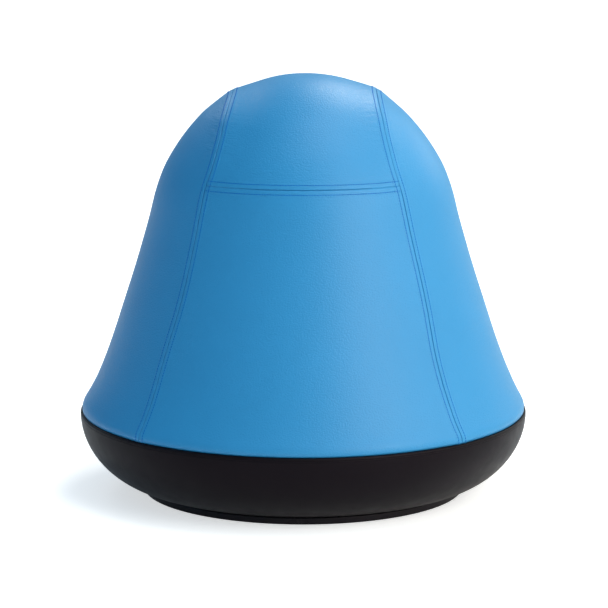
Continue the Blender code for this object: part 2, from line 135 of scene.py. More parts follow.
def cover_section():
    """The cover's half section from its tucked hem up to the crown, as (radius, z)."""
    leave = (
        COVER_RADIUS * math.sin(LEAVES_BALL),
        BALL_CENTRE.z + COVER_RADIUS * math.cos(LEAVES_BALL),
    )
    points = bezier(HEM_POINT, *HEM_HANDLES, ROLL_POINT, HEM_SEGMENTS)
    points += bezier(
        ROLL_POINT,
        ROLL_HANDLE,
        (
            RIM_POINT[0] + RIM_HANDLE_BELOW * math.sin(RIM_LEAN),
            RIM_POINT[1] - RIM_HANDLE_BELOW * math.cos(RIM_LEAN),
        ),
        RIM_POINT,
        20,
    )[1:]
    points += bezier(
        RIM_POINT,
        (
            RIM_POINT[0] - RIM_HANDLE_ABOVE * math.sin(RIM_LEAN),
            RIM_POINT[1] + RIM_HANDLE_ABOVE * math.cos(RIM_LEAN),
        ),
        (
            leave[0] + TOP_HANDLE * math.cos(LEAVES_BALL),
            leave[1] - TOP_HANDLE * math.sin(LEAVES_BALL),
        ),
        leave,
        500,
    )[1:]
    for step in range(1, 401):
        polar = LEAVES_BALL * (1 - step / 400)
        distance = dome_radius(polar)
        points.append(
            (distance * math.sin(polar), BALL_CENTRE.z + distance * math.cos(polar))
        )
    return points


SECTION = cover_section()
LENGTHS = [0.0]
for first_point, second_point in zip(SECTION, SECTION[1:]):
    LENGTHS.append(LENGTHS[-1] + math.dist(first_point, second_point))
SECTION_TREE = KDTree(len(SECTION))
for section_index, (section_radius, section_z) in enumerate(SECTION):
    SECTION_TREE.insert((section_radius, section_z, 0.0), section_index)
SECTION_TREE.balance()


def length_at_height(z):
    """Length up the section from the hem at which the flank or the dome reaches a height."""
    for index in range(HEM_SEGMENTS, len(SECTION) - 1):
        if SECTION[index + 1][1] >= z:
            return LENGTHS[index]
    return LENGTHS[-1]


SEAM_Z = BALL_CENTRE.z + COVER_RADIUS * math.cos(SEAM_POLAR)
SEAM_LENGTH = length_at_height(SEAM_Z)


def section_at(length):
    """(radius, z) of the section at a length up from the hem."""
    low, high = 0, len(LENGTHS) - 1
    while high - low > 1:
        middle = (low + high) // 2
        if LENGTHS[middle] <= length:
            low = middle
        else:
            high = middle
    part = (length - LENGTHS[low]) / (LENGTHS[high] - LENGTHS[low])
    start, end = SECTION[low], SECTION[high]
    return start[0] + (end[0] - start[0]) * part, start[1] + (end[1] - start[1]) * part


def section_frame(point):
    """The nearest point of the plain cover surface, with its outward normal."""
    radius = math.hypot(point.x, point.y)
    spoke = Vector((point.x, point.y, 0)) / radius if radius > 1e-7 else Vector((1, 0, 0))
    nearest, index, _ = SECTION_TREE.find((radius, point.z, 0.0))
    before = SECTION[max(index - 1, 0)]
    after = SECTION[min(index + 1, len(SECTION) - 1)]
    along = Vector((after[0] - before[0], after[1] - before[1])).normalized()
    step = along.x * (radius - nearest.x) + along.y * (point.z - nearest.y)
    radius = nearest.x + along.x * step
    z = nearest.y + along.y * step
    normal = spoke * along.y + Vector((0, 0, -along.x))
    return spoke * radius + Vector((0, 0, z)), normal


def bump_at(value, centre, width):
    return math.exp(-(((value - centre) / width) ** 2))


def ramp(value, start, span):
    """Rises evenly from 0 to 1 over a span."""
    return max(0.0, min(1.0, (value - start) / span))


def twist_at(z):
    """The sewn cover sits slightly turned on its ball, most of all low on the flank."""
    low = math.radians(1.5) * bump_at(z, 208 * MM, 55 * MM)
    rim = math.radians(1.15) * bump_at(z, 132 * MM, 50 * MM)
    top = math.radians(0.65) * bump_at(z, 440 * MM, 100 * MM)
    return -low - rim - top


def corner_azimuth(length):
    """Angle of an upright seam from the front or the back, at a length up the section."""
    part = min(1.0, max(0.0, length / SEAM_LENGTH))
    return SEAM_AZIMUTH_RIM + (SEAM_AZIMUTH_TOP - SEAM_AZIMUTH_RIM) * part


def strip_half_width(along):
    return STRIP_HALF_TOP + (STRIP_HALF_END - STRIP_HALF_TOP) * abs(along) ** STRIP_WAIST


def strip_point(across, along):
    """The top strip: across runs left to right and along front to back, both -1 to 1."""
    skew = STRIP_SKEW * math.sin(along * math.pi / 2)
    x = across * strip_half_width(along) + skew
    x_end = across * STRIP_HALF_END + math.copysign(STRIP_SKEW, along)
    ring = math.sqrt(COVER_RADIUS**2 - x_end**2)
    end_polar = SEAM_POLAR + SEAM_SAG * across**2
    swing = math.acos(COVER_RADIUS * math.cos(end_polar) / ring)
    angle = along * swing
    here = math.sqrt(COVER_RADIUS**2 - x**2)
    direction = Vector((x, here * math.sin(angle), here * math.cos(angle))).normalized()
    polar = math.acos(min(1.0, direction.z))
    return direction * dome_radius(polar) + BALL_CENTRE


def ring_point(length, azimuth):
    """A point of the cover at a length up the section, turned by the cover's twist."""
    radius, z = section_at(length)
    azimuth += twist_at(z)
    return Vector((radius * math.cos(azimuth), radius * math.sin(azimuth), z))


# ---------------------------------------------------------------------------------------------
# The seam lines
# ---------------------------------------------------------------------------------------------


def spaced(points, pitch):
    """The same line with points at an even pitch."""
    lengths = [0.0]
    for first, second in zip(points, points[1:]):
        lengths.append(lengths[-1] + (second - first).length)
    count = max(2, round(lengths[-1] / pitch))
    result, index = [], 0
    for step in range(count + 1):
        wanted = lengths[-1] * step / count
        while index < len(points) - 2 and lengths[index + 1] < wanted:
            index += 1
        span = max(lengths[index + 1] - lengths[index], 1e-9)
        result.append(points[index].lerp(points[index + 1], (wanted - lengths[index]) / span))
    return result


def eased(points, reach):
    """A line with its kinks rounded over a number of neighbours, its ends held."""
    result = []
    for index in range(len(points)):
        span = min(reach, index, len(points) - 1 - index)
        near = points[index - span : index + span + 1]
        result.append(sum(near, Vector()) / len(near))
    return result


def long_seam(side):
    """Up the front, over the dome and down the back. side is -1 for left and 1 for right."""
    front, back = [], []
    for step in range(161):
        length = SEAM_LENGTH * step / 160
        off = corner_azimuth(length)
        front.append(ring_point(length, -math.pi / 2 + side * off))
        back.append(ring_point(length, math.pi / 2 - side * off))
    over = [strip_point(side, -1 + 2 * step / 200) for step in range(1, 200)]
    line = spaced(front + over + back[::-1], 1 * MM)
    return [section_frame(point)[0] for point in eased(line, 14)]


def cross_seam(end):
    """The seam between the strip and the front or back panel. end is -1 for the front."""
    return [strip_point(-1 + 2 * step / 160, end) for step in range(161)]


SEAMS = {
    "left": long_seam(-1),
    "right": long_seam(1),
    "front": cross_seam(-1),
    "back": cross_seam(1),
}


def tree_of(points):
    tree = KDTree(len(points))
    for index, point in enumerate(points):
        tree.insert(point, index)
    tree.balance()
    return tree


SEAM_TREES = {name: tree_of(spaced(points, 1 * MM)) for name, points in SEAMS.items()}


def off_seam(point, *names):
    """Distance to the nearest of the named seams."""
    return min(SEAM_TREES[name].find(point)[2] for name in names)


def seam_profile(distance):
    """Height beside a seam: a narrow valley, the folded allowance and a stitched line."""
    valley = -1.7 * bump_at(distance, 0.0, 0.48 * MM)
    allowance = 0.4 / (1 + math.exp((distance - 8 * MM) / (0.7 * MM)))
    stitched = -0.2 * bump_at(distance, 6.35 * MM, 0.6 * MM)
    return (valley + allowance + stitched) * MM


def broad_shape(point):
    """How far the stretched cover stands off its plain shape: most along the long seams."""
    near = off_seam(point, "left", "right")
    ridge = (0.7 + 2.3 * ramp(point.z, 400 * MM, 100 * MM)) * bump_at(near, 0.0, 21 * MM)
    sideways = point.x**2 / max(point.x**2 + point.y**2, 1e-9)
    proud = 1.5 * bump_at(point.z, *SHOULDER)
    proud += sideways * (bump_at(point.z, *SIDE_SHOULDER) + 0.6 * bump_at(point.z, *SIDE_FLANK))
    slack = 1.1 * bump_at(point.z, *BROW) + sideways * bump_at(point.z, *SIDE_BROW)
    slack += 0.5 * bump_at(point.z, *WAIST) * (1 - bump_at(near, 0.0, 40 * MM))
    slack += ramp(point.z, 500 * MM, 30 * MM) * (1.2 + 2.2 * bump_at(point.x, -90 * MM, 50 * MM))
    return (ridge + proud - slack) * MM


def cover_point(point, lift=0.0):
    """A point of the finished cover near a given point, and the outward normal there."""
    plain, normal = section_frame(point)
    drift = COVER_DRIFT * ramp(plain.z, *DRIFT_RAMP)
    return plain + normal * (broad_shape(plain) + lift) + Vector((drift, 0, 0)), normal


# ---------------------------------------------------------------------------------------------
# Making and placing pieces
# ---------------------------------------------------------------------------------------------


def add_object(name, bm, material, slot):
    mesh = bpy.data.meshes.new(name)
    bm.to_mesh(mesh)
    bm.free()
    mesh.materials.append(material)
    mesh.shade_smooth()
    obj = bpy.data.objects.new(name, mesh)
    bpy.context.scene.collection.objects.link(obj)
    return obj


def cover_follows(obj):
    """Bakes a cover piece's placement into its mesh."""
    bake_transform(obj)


def spun(profile, steps):
    """A bmesh turned once round the Z axis from a half section. Closed sections close up."""
    bm = bmesh.new()
    verts = [bm.verts.new((radius, 0.0, z)) for radius, z in profile]
    edges = [bm.edges.new(pair) for pair in zip(verts, verts[1:])]
    bmesh.ops.spin(
        bm,
        geom=verts + edges,
        cent=(0, 0, 0),
        axis=(0, 0, 1),
        angle=2 * math.pi,
        steps=steps,
        use_merge=True,
    )
    bmesh.ops.remove_doubles(bm, verts=bm.verts, dist=0.00001)
    bmesh.ops.recalc_face_normals(bm, faces=bm.faces)
    return bm


def rounded(profile, radius, segments=5):
    """A section with its inner corners rounded, where they have room for it."""
    result = [profile[0]]
    for before, corner, after in zip(profile, profile[1:], profile[2:]):
        here = Vector(corner)
        back = Vector(before) - here
        ahead = Vector(after) - here
        bend = math.pi - back.angle(ahead)
        if bend < math.radians(12):
            result.append(corner)
            continue
        reach = min(radius * math.tan(bend / 2), back.length * 0.45, ahead.length * 0.45)
        start = here + back.normalized() * reach
        end = here + ahead.normalized() * reach
        for step in range(segments + 1):
            t = step / segments
            point = start * (1 - t) ** 2 + here * 2 * t * (1 - t) + end * t * t
            result.append((point.x, point.y))
    result.append(profile[-1])
    return result


def around(count, radius, first_angle=0.0):
    for index in range(count):
        angle = first_angle + 2 * math.pi * index / count
        yield radius * math.cos(angle), radius * math.sin(angle)


# ---------------------------------------------------------------------------------------------
# Materials
# ---------------------------------------------------------------------------------------------


class Finish:
    """A material under construction: its nodes and the links between them."""

    def __init__(self, name, roughness, metallic=0.0, shine=0.5):
        self.material = bpy.data.materials.new(name)
        self.material.use_nodes = True
        self.tree = self.material.node_tree
        self.shader = self.tree.nodes["Principled BSDF"]
        self.shader.inputs["Roughness"].default_value = roughness
        self.shader.inputs["Metallic"].default_value = metallic
        self.shader.inputs["Specular IOR Level"].default_value = shine
        self.place = self.tree.nodes.new("ShaderNodeTexCoord").outputs["Object"]

    def link(self, source, target):
        self.tree.links.new(source, target)

    def noise(self, scale, detail=3.0, roughness=0.5, stretch=None):
        node = self.tree.nodes.new("ShaderNodeTexNoise")
        node.inputs["Scale"].default_value = scale
        node.inputs["Detail"].default_value = detail
        node.inputs["Roughness"].default_value = roughness
        self.link(self.stretched(stretch), node.inputs["Vector"])
        return node.outputs["Fac"]

    def stretched(self, scale):
        if scale is None:
            return self.place
        node = self.tree.nodes.new("ShaderNodeMapping")
        node.inputs["Scale"].default_value = scale
        self.link(self.place, node.inputs["Vector"])
        return node.outputs["Vector"]

    def cells(self, scale, smoothness):
        node = self.tree.nodes.new("ShaderNodeTexVoronoi")
        node.feature = "SMOOTH_F1"
        node.inputs["Scale"].default_value = scale
        node.inputs["Smoothness"].default_value = smoothness
        self.link(self.place, node.inputs["Vector"])
        return node.outputs["Distance"]

    def bands(self, scale, direction, distortion=0.0):
        node = self.tree.nodes.new("ShaderNodeTexWave")
        node.bands_direction = direction
        node.inputs["Scale"].default_value = scale
        node.inputs["Distortion"].default_value = distortion
        self.link(self.place, node.inputs["Vector"])
        return node.outputs["Fac"]

    def ranged(self, source, from_low, from_high, to_low, to_high):
        node = self.tree.nodes.new("ShaderNodeMapRange")
        node.inputs["From Min"].default_value = from_low
        node.inputs["From Max"].default_value = from_high
        node.inputs["To Min"].default_value = to_low
        node.inputs["To Max"].default_value = to_high
        self.link(source, node.inputs["Value"])
        return node.outputs["Result"]

    def attribute(self, name):
        node = self.tree.nodes.new("ShaderNodeAttribute")
        node.attribute_name = name
        return node.outputs["Fac"]

    def times(self, first, second):
        node = self.tree.nodes.new("ShaderNodeMath")
        node.operation = "MULTIPLY"
        self.link(first, node.inputs[0])
        self.link(second, node.inputs[1])
        return node.outputs["Value"]

    def colour(self, factor, low, high):
        node = self.tree.nodes.new("ShaderNodeMix")
        node.data_type = "RGBA"
        self.link(factor, node.inputs["Factor"])
        node.inputs["A"].default_value = (*low, 1.0)
        node.inputs["B"].default_value = (*high, 1.0)
        self.link(node.outputs["Result"], self.shader.inputs["Base Color"])

    def rough(self, factor, low, high):
        self.link(
            self.ranged(factor, 0.25, 0.75, low, high), self.shader.inputs["Roughness"]
        )

    def glow(self, near, far, low, high, unseen):
        """Painted light: the floor's own pale glow, growing with the distance from the middle and
        weaker on the seat than to the camera; it lightens the seat's shadow on the floor.
        """
        node = self.tree.nodes.new("ShaderNodeVectorMath")
        node.operation = "LENGTH"
        self.link(self.place, node.inputs[0])
        seen = self.tree.nodes.new("ShaderNodeLightPath").outputs["Is Camera Ray"]
        strength = self.times(
            self.ranged(node.outputs["Value"], near, far, low, high),
            self.ranged(seen, 0.0, 1.0, unseen, 1.0),
        )
        self.shader.inputs["Emission Color"].default_value = (1.0, 1.0, 1.0, 1.0)
        self.link(strength, self.shader.inputs["Emission Strength"])

    def bump(self, height, strength, distance, below=None):
        node = self.tree.nodes.new("ShaderNodeBump")
        node.inputs["Strength"].default_value = strength
        node.inputs["Distance"].default_value = distance
        self.link(height, node.inputs["Height"])
        if below is not None:
            self.link(below, node.inputs["Normal"])
        return node.outputs["Normal"]

    def normal(self, normal):
        self.link(normal, self.shader.inputs["Normal"])


def tinted(colour, factor):
    return tuple(channel * factor for channel in colour)


def cover_vinyl(settings):
    """Soft upholstery vinyl: a fine pebbled grain over slow ripples, darker in its creases."""
    finish = Finish("cover_vinyl", 0.42, shine=0.4)
    colour = tuple(settings.colour)
    grain = finish.cells(520, 0.6)
    ripple = finish.noise(420, 2.0, 0.5, (1.0, 1.0, 1.5))
    slow = finish.noise(7, 2.0)
    creases = finish.noise(150, 2.0, 0.5, (0.35, 0.35, 2.6))
    puckers = finish.times(creases, finish.attribute("pucker"))
    finish.colour(slow, tinted(colour, 0.95), tinted(colour, 1.05))
    finish.rough(finish.noise(420, 3.0), settings.roughness - 0.05, settings.roughness + 0.06)
    normal = finish.bump(puckers, 0.8, 0.0012)
    normal = finish.bump(ripple, settings.grain, 0.0006, normal)
    normal = finish.bump(grain, settings.grain, 0.0003, normal)
    finish.normal(normal)
    return finish.material


def sewing_thread(settings):
    """Bonded polyester thread a few shades deeper than the cover."""
    finish = Finish("sewing_thread", 0.7, shine=0.08)
    colour = tuple(settings.thread_colour)
    finish.colour(finish.noise(900, 2.0), tinted(colour, 0.8), tinted(colour, 1.2))
    finish.normal(finish.bump(finish.noise(2600, 1.0), 0.4, 0.00012))
    return finish.material


def moulded_plastic(name, colour, roughness, grain=0.12, shine=0.5, tint=(1.0, 1.0, 1.0)):
    """Moulded plastic with a fine spark-eroded texture."""
    finish = Finish(name, roughness, shine=shine)
    finish.shader.inputs["Specular Tint"].default_value = (*tint, 1.0)
    finish.colour(finish.noise(14, 3.0), tinted(colour, 0.85), tinted(colour, 1.2))
    finish.rough(finish.noise(60, 4.0), roughness - 0.04, roughness + 0.05)
    finish.normal(finish.bump(finish.noise(1500, 2.0), grain, 0.00012))
    return finish.material


def soft_rubber():
    finish = Finish("grip_rubber", 0.75)
    finish.colour(finish.noise(40, 3.0), (0.008, 0.008, 0.008), (0.02, 0.02, 0.02))
    finish.normal(finish.bump(finish.noise(900, 2.0), 0.3, 0.0002))
    return finish.material


def plated_steel(name, colour, roughness):
    """Zinc-plated steel, faintly drawn across."""
    finish = Finish(name, roughness, 1.0)
    finish.colour(finish.noise(30, 4.0), tinted(colour, 0.85), tinted(colour, 1.1))
    drawn = finish.noise(700, 2.0, 0.5, (1.0, 0.06, 1.0))
    finish.rough(drawn, roughness - 0.08, roughness + 0.1)
    finish.normal(finish.bump(drawn, 0.15, 0.0001))
    return finish.material


def ball_vinyl():
    """The inflated ball's own skin, with fine raised rings against slipping."""
    finish = Finish("ball_vinyl", 0.45)
    finish.colour(finish.noise(6, 2.0), (0.22, 0.24, 0.27), (0.28, 0.3, 0.33))
    finish.rough(finish.noise(80, 3.0), 0.4, 0.52)
    rings = finish.bump(finish.bands(45, "Z"), 0.35, 0.0008)
    finish.normal(finish.bump(finish.noise(500, 2.0), 0.12, 0.0002, rings))
    return finish.material


def webbing(name, colour):
    """Woven tape: ribs round the hoop crossed by finer picks."""
    finish = Finish(name, 0.85)
    weave = finish.times(finish.bands(260, "Z", 0.6), finish.noise(420, 2.0))
    finish.colour(weave, tinted(colour, 0.7), tinted(colour, 1.5))
    finish.normal(finish.bump(weave, 0.6, 0.0004))
    return finish.material


# ---------------------------------------------------------------------------------------------
# Settings
# ---------------------------------------------------------------------------------------------


class SEAT_PG_cover(bpy.types.PropertyGroup):
    colour: FloatVectorProperty(
        name="Vinyl colour",
        description="Colour of the five cover panels",
        subtype="COLOR",
        size=3,
        min=0.0,
        max=1.0,
        default=(0.023, 0.243, 0.505),
    )
    thread_colour: FloatVectorProperty(
        name="Thread colour",
        description="Colour of the topstitching",
        subtype="COLOR",
        size=3,
        min=0.0,
        max=1.0,
        default=(0.0004, 0.11, 0.45),
    )
    roughness: FloatProperty(
        name="Roughness", description="Sheen of the vinyl", min=0.1, max=0.9, default=0.42
    )
    grain: FloatProperty(
        name="Grain", description="Depth of the pebbled grain", min=0.0, max=1.0, default=0.6
    )
    thickness: FloatProperty(
        name="Thickness",
        description="Thickness of the vinyl with its backing",
        unit="LENGTH",
        min=0.0005,
        default=0.0022,
    )
    stitch_offset: FloatProperty(
        name="Stitch offset",
        description="Distance of the topstitching from the seam",
        unit="LENGTH",
        default=0.00635,
    )
    stitch_pitch: FloatProperty(
        name="Stitch pitch",
        description="Length of one stitch with its gap",
        unit="LENGTH",
        default=0.0035,
    )
    thread_radius: FloatProperty(
        name="Thread radius",
        description="Half the thickness of the thread",
        unit="LENGTH",
        default=0.00052,
    )


class SEAT_PG_base(bpy.types.PropertyGroup):
    colour: FloatVectorProperty(
        name="Bowl colour",
        description="Colour of the moulded bowl",
        subtype="COLOR",
        size=3,
        min=0.0,
        max=1.0,
        default=(0.0042, 0.0032, 0.0044),
    )
    roughness: FloatProperty(
        name="Roughness", description="Sheen of the bowl", min=0.1, max=0.9, default=0.42
    )
    foot_roughness: FloatProperty(
        name="Foot roughness", description="Sheen of the foot", min=0.1, max=0.9, default=0.3
    )
    steps: IntProperty(
        name="Steps", description="Faces round the turned pieces", min=36, default=192
    )


class SEAT_PG_stage(bpy.types.PropertyGroup):
    key: FloatProperty(
        name="Key light", description="Softbox at the front right", unit="POWER", default=41.0
    )
    side: FloatProperty(
        name="Side light", description="Softbox on the right", unit="POWER", default=16.0
    )
    fill: FloatProperty(
        name="Fill light", description="Cool softbox on the left", unit="POWER", default=4.0
    )
    top: FloatProperty(
        name="Top light", description="Softbox above", unit="POWER", default=20.0
    )
    back: FloatProperty(
        name="Back light", description="Softboxes behind", unit="POWER", default=42.0
    )
    room: FloatProperty(
        name="Room light", description="Brightness of the white room", default=0.48
    )
    # Painted light: how strongly the far floor itself glows
    glow: FloatProperty(
        name="Floor glow", description="Backlight of the far floor", default=0.75
    )


# ---------------------------------------------------------------------------------------------
# The cover
# ---------------------------------------------------------------------------------------------


def thickened(obj, thickness):
    """Gives a surface its thickness, inwards."""
    wall = obj.modifiers.new("Thickness", "SOLIDIFY")
    wall.thickness = thickness
    wall.offset = -1


def panel_grid(name, place, thickness, material):
    """A cover panel: a grid laid on the cover, ending just short of its seam lines."""
    bm = bmesh.new()
    bmesh.ops.create_grid(bm, x_segments=PANEL_ACROSS, y_segments=PANEL_ALONG, size=1.0)
    pucker = bm.verts.layers.float.new("pucker")
    for vert in bm.verts:
        point, _ = cover_point(place(vert.co.x, vert.co.y))
        vert.co = point
        near = off_seam(point, "left", "right", "front", "back")
        dome = ramp(point.z, 400 * MM, 60 * MM)
        vert[pucker] = (0.15 + 0.85 * dome) * bump_at(near, 0.0, 22 * MM)
    obj = add_object(name, bm, material, "cover_vinyl")
    thickened(obj, thickness)
    return obj


def upright(middle, side):
    """Maps the grid's square onto an upright panel. side is true for the left and the right."""

    def seam_end(u):
        edge = strip_point(1.0, u * 0.999)
        direction = (edge - BALL_CENTRE).normalized()
        polar = math.acos(direction.z)
        return LENGTHS[-1] - COVER_RADIUS * polar, math.atan2(edge.y, edge.x)

    def place(u, v):
        share = (v + 1) / 2
        top, top_azimuth = seam_end(u) if side else (SEAM_LENGTH, 0.0)
        length = max(0.0, (top - PANEL_INSET) * share)
        corner = corner_azimuth(min(length, SEAM_LENGTH))
        half = math.pi / 2 - corner if side else corner
        radius = section_at(min(length, SEAM_LENGTH))[0]
        azimuth = u * (half - PANEL_INSET / radius)
        if length > SEAM_LENGTH:
            part = (length - SEAM_LENGTH) / max(top - SEAM_LENGTH, 1e-6)
            azimuth += (top_azimuth - azimuth) * part
        return ring_point(length, middle + azimuth)

    return place


PANEL_ACROSS = 72
PANEL_ALONG = 110
PANEL_INSET = 0.6 * MM

# Flat size of each panel's cut, as (width, length, area)
CUTS = {
    "front": (0.455, 0.37, 0.1146),
    "right": (0.455, 0.56, 0.1495),
    "back": (0.455, 0.37, 0.1146),
    "left": (0.455, 0.56, 0.1495),
    "top": (0.245, 0.42, 0.0896),
}


class SEAT_OT_cover_panels(bpy.types.Operator):
    """Lays the five vinyl panels over the ball and tucks them in behind the rim"""

    bl_idname = "seat.cover_panels"
    bl_label = "Cover Panels"

    def execute(self, context):
        cover = context.scene.seat_cover
        vinyl = cover_vinyl(cover)
        places = {
            "front": upright(-math.pi / 2, False),
            "right": upright(0.0, True),
            "back": upright(math.pi / 2, False),
            "left": upright(math.pi, True),
            "top": lambda u, v: strip_point(u * 0.994, v * 0.997),
        }
        for side, place in places.items():
            panel = panel_grid(f"{side}_panel", place, cover.thickness, vinyl)
            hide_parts(f"cover_{side}")
            cover_follows(panel)
            width, length, area = CUTS[side]
        return {"FINISHED"}


# Distances of a ribbon's rows from the seam line, in millimetres
RIBBON_OFFSETS = (
    (0.0, 0.2, 0.4, 0.6, 0.85, 1.15, 1.6, 2.3, 3.3, 4.4, 5.2, 5.7, 6.05, 6.35, 6.65, 7.0)
    + (7.4, 7.8, 8.2, 8.6, 9.0, 9.5, 10.2, 11.2)
)
RIBBON_EDGE = RIBBON_OFFSETS[-1] * MM
RIBBON_FADE = 8.6 * MM


def seam_basis(points, index):
    """Point, direction along, direction across and normal at one place of a seam line."""
    point, normal = section_frame(points[index])
    along = (points[min(index + 1, len(points) - 1)] - points[max(index - 1, 0)]).normalized()
    across = along.cross(normal).normalized()
    return point, along, across, normal


def crossing_lift(point, inward, crossing):
    """Where a cross seam runs in under a long seam, its folds show through up to the middle."""
    if not inward:
        return 0.0
    near = off_seam(point, *crossing)
    beads = 0.45 * MM * bump_at(near, 9.8 * MM, 1.4 * MM) * bump_at(inward, 4.4 * MM, 2.4 * MM)
    return seam_profile(near) + beads if near < 14 * MM else 0.0


def ribbon_line(points, crossing):
    """The places of a ribbon's rows: close together only where a seam crosses."""
    fine = spaced(points, 0.5 * MM)
    return [
        point
        for index, point in enumerate(fine)
        if index % 5 == 0
        or index == len(fine) - 1
        or (crossing and off_seam(point, *crossing) < 13 * MM)
    ]


def seam_ribbon(name, points, inside, crossing):
    """A raised, topstitched seam: a profile drawn along the seam line, over the panel edges."""
    offsets = [-value for value in reversed(RIBBON_OFFSETS[1:])] + list(RIBBON_OFFSETS)
    across_count = len(offsets) - 1
    line = ribbon_line(points, crossing)
    rows = len(line) - 1
    bases = [seam_basis(line, index) for index in range(len(line))]
    ends = (line[0], line[-1])
    bm = bmesh.new()
    bmesh.ops.create_grid(bm, x_segments=across_count, y_segments=rows, size=1.0)
    pucker = bm.verts.layers.float.new("pucker")
    for vert in bm.verts:
        offset = offsets[round((vert.co.x + 1) / 2 * across_count)] * MM
        point, _, across, _ = bases[round((vert.co.y + 1) / 2 * rows)]
        beside = point + across * offset
        reach = abs(offset)
        lift = seam_profile(reach)
        if crossing:
            lift += crossing_lift(beside, max(0.0, offset * inside), crossing)
        else:
            from_end = min((point - end).length for end in ends)
            lift -= 0.9 * MM * max(0.0, 1 - from_end / (10 * MM)) ** 0.5
        edge = max(0.0, (reach - RIBBON_FADE) / (RIBBON_EDGE - RIBBON_FADE))
        lift -= 0.28 * MM * edge**1.5
        vert.co, _ = cover_point(beside, lift)
        vert[pucker] = 0.01
    obj = add_object(name, bm, cover_material(), "cover_vinyl")
    thickened(obj, 1.0 * MM)
    return obj


def cover_material():
    """The vinyl that the panels share."""
    return bpy.data.objects["top_panel"].data.materials[0]


# Which side of each long seam faces the middle, and which seams run in under it
SEAM_LAYOUT = {
    "left": (1, ("front", "back")),
    "right": (-1, ("front", "back")),
    "front": (0, ()),
    "back": (0, ()),
}


class SEAT_OT_seams(bpy.types.Operator):
    """Raises the seams between the panels, with their folded allowances"""

    bl_idname = "seat.seams"
    bl_label = "Seams"

    def execute(self, context):
        for name, (inside, crossing) in SEAM_LAYOUT.items():
            cover_follows(seam_ribbon(f"{name}_seam", SEAMS[name], inside, crossing))
        return {"FINISHED"}


def one_stitch(radius, length):
    """A single stitch lying along +Y, its ends drawn down into the vinyl."""
    bm = bmesh.new()
    bmesh.ops.create_uvsphere(bm, u_segments=6, v_segments=6, radius=1.0)
    upended = Matrix.Rotation(math.pi / 2, 3, "X")
    bmesh.ops.rotate(bm, verts=bm.verts, cent=(0, 0, 0), matrix=upended)
    for vert in bm.verts:
        along = vert.co.y
        vert.co.x *= radius
        vert.co.z = vert.co.z * radius * 0.85 - radius * 0.9 * along**4
        vert.co.y = along * length / 2
    mesh = bpy.data.meshes.new("one_stitch")
    bm.to_mesh(mesh)
    bm.free()
    return mesh


def stitch_places(points, cover, side, inside, crossing):
    """A place for each stitch of one row beside a seam line."""
    rough = random.Random(len(points) * 7 + side)
    others = crossing or ("left", "right")
    inward = cover.stitch_offset if side == inside else 0.1 * MM if not crossing else 0.0
    line = []
    for index in range(len(points)):
        point, _, across, _ = seam_basis(points, index)
        line.append(section_frame(point + across * (side * cover.stitch_offset))[0])
    row = spaced(line, cover.stitch_pitch)
    for first, second in zip(row, row[1:]):
        middle = (first + second) / 2
        lift = seam_profile(cover.stitch_offset) + cover.thread_radius * 0.4
        lift += crossing_lift(middle, inward, others)
        place, normal = cover_point(middle, lift)
        along = (second - first).normalized()
        across = along.cross(normal).normalized()
        along = (along + across * rough.uniform(-0.05, 0.05)).normalized()
        across = along.cross(normal).normalized()
        up = across.cross(along)
        matrix = Matrix((across, along, up)).transposed().to_4x4()
        matrix.translation = place
        yield matrix


class SEAT_OT_stitching(bpy.types.Operator):
    """Sews a row of topstitches along each side of every seam"""

    bl_idname = "seat.stitching"
    bl_label = "Stitching"

    def execute(self, context):
        cover = context.scene.seat_cover
        thread = sewing_thread(cover)
        stitch = one_stitch(cover.thread_radius, cover.stitch_pitch * 0.86)
        for name, (inside, crossing) in SEAM_LAYOUT.items():
            bm = bmesh.new()
            for side in (-1, 1):
                for matrix in stitch_places(SEAMS[name], cover, side, inside, crossing):
                    stitch.transform(matrix)
                    bm.from_mesh(stitch)
                    stitch.transform(matrix.inverted())
            sewn = add_object(f"{name}_stitches", bm, thread, "cover_vinyl")
            cover_follows(sewn)
        bpy.data.meshes.remove(stitch)
        return {"FINISHED"}


# ---------------------------------------------------------------------------------------------
# The base and the foot
# ---------------------------------------------------------------------------------------------


BOWL_WIDEST = (293.2 * MM, 103.9 * MM)
BOWL_EDGE = (213.9 * MM, 11.2 * MM)
BOWL_SLOPE = math.radians(11.8)
BOWL_SIDE_HANDLE = 44.6 * MM
BOWL_EDGE_HANDLE = 44.4 * MM
BOWL_WALL = 4 * MM
BOWL_FLOOR_TOP = 20.1 * MM
LIP_RADIUS = 2.3 * MM
LIP_FOOT = 100.4 * MM
POST_CIRCLE = 250 * MM
SCREW_CIRCLE = 126 * MM


